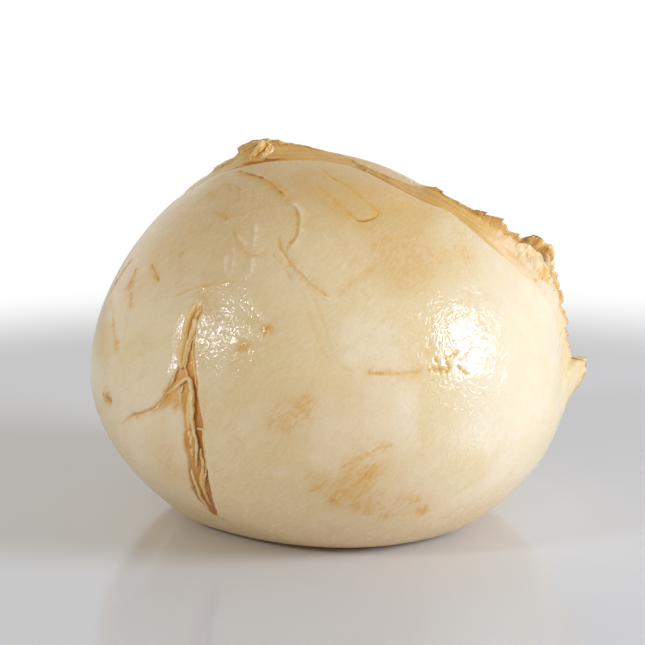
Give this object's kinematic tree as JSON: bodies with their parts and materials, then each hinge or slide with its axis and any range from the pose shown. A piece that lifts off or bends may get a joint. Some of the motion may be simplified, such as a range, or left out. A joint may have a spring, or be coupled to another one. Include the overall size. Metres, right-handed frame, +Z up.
{
  "type": "smoked mozzarella",
  "caption": "Ball of smoked mozzarella with a glossy cream skin, a browned fold down its front and a torn golden seam over its top, settled flat underneath.",
  "frame": {"origin": "middle of the flat spot under the ball, on the surface that it rests on", "axes": "+Z up, -Y out of the front with the fold, +X to the right with the tallest torn flakes"},
  "size_m": [0.1055, 0.097, 0.0805],
  "materials": {
    "smoked_skin": "moist satin gloss, cream with golden-brown smoke stains"
  },
  "bodies": {
    "root": {"cheese_ball": "smoked_skin"}
  },
  "joints": []
}
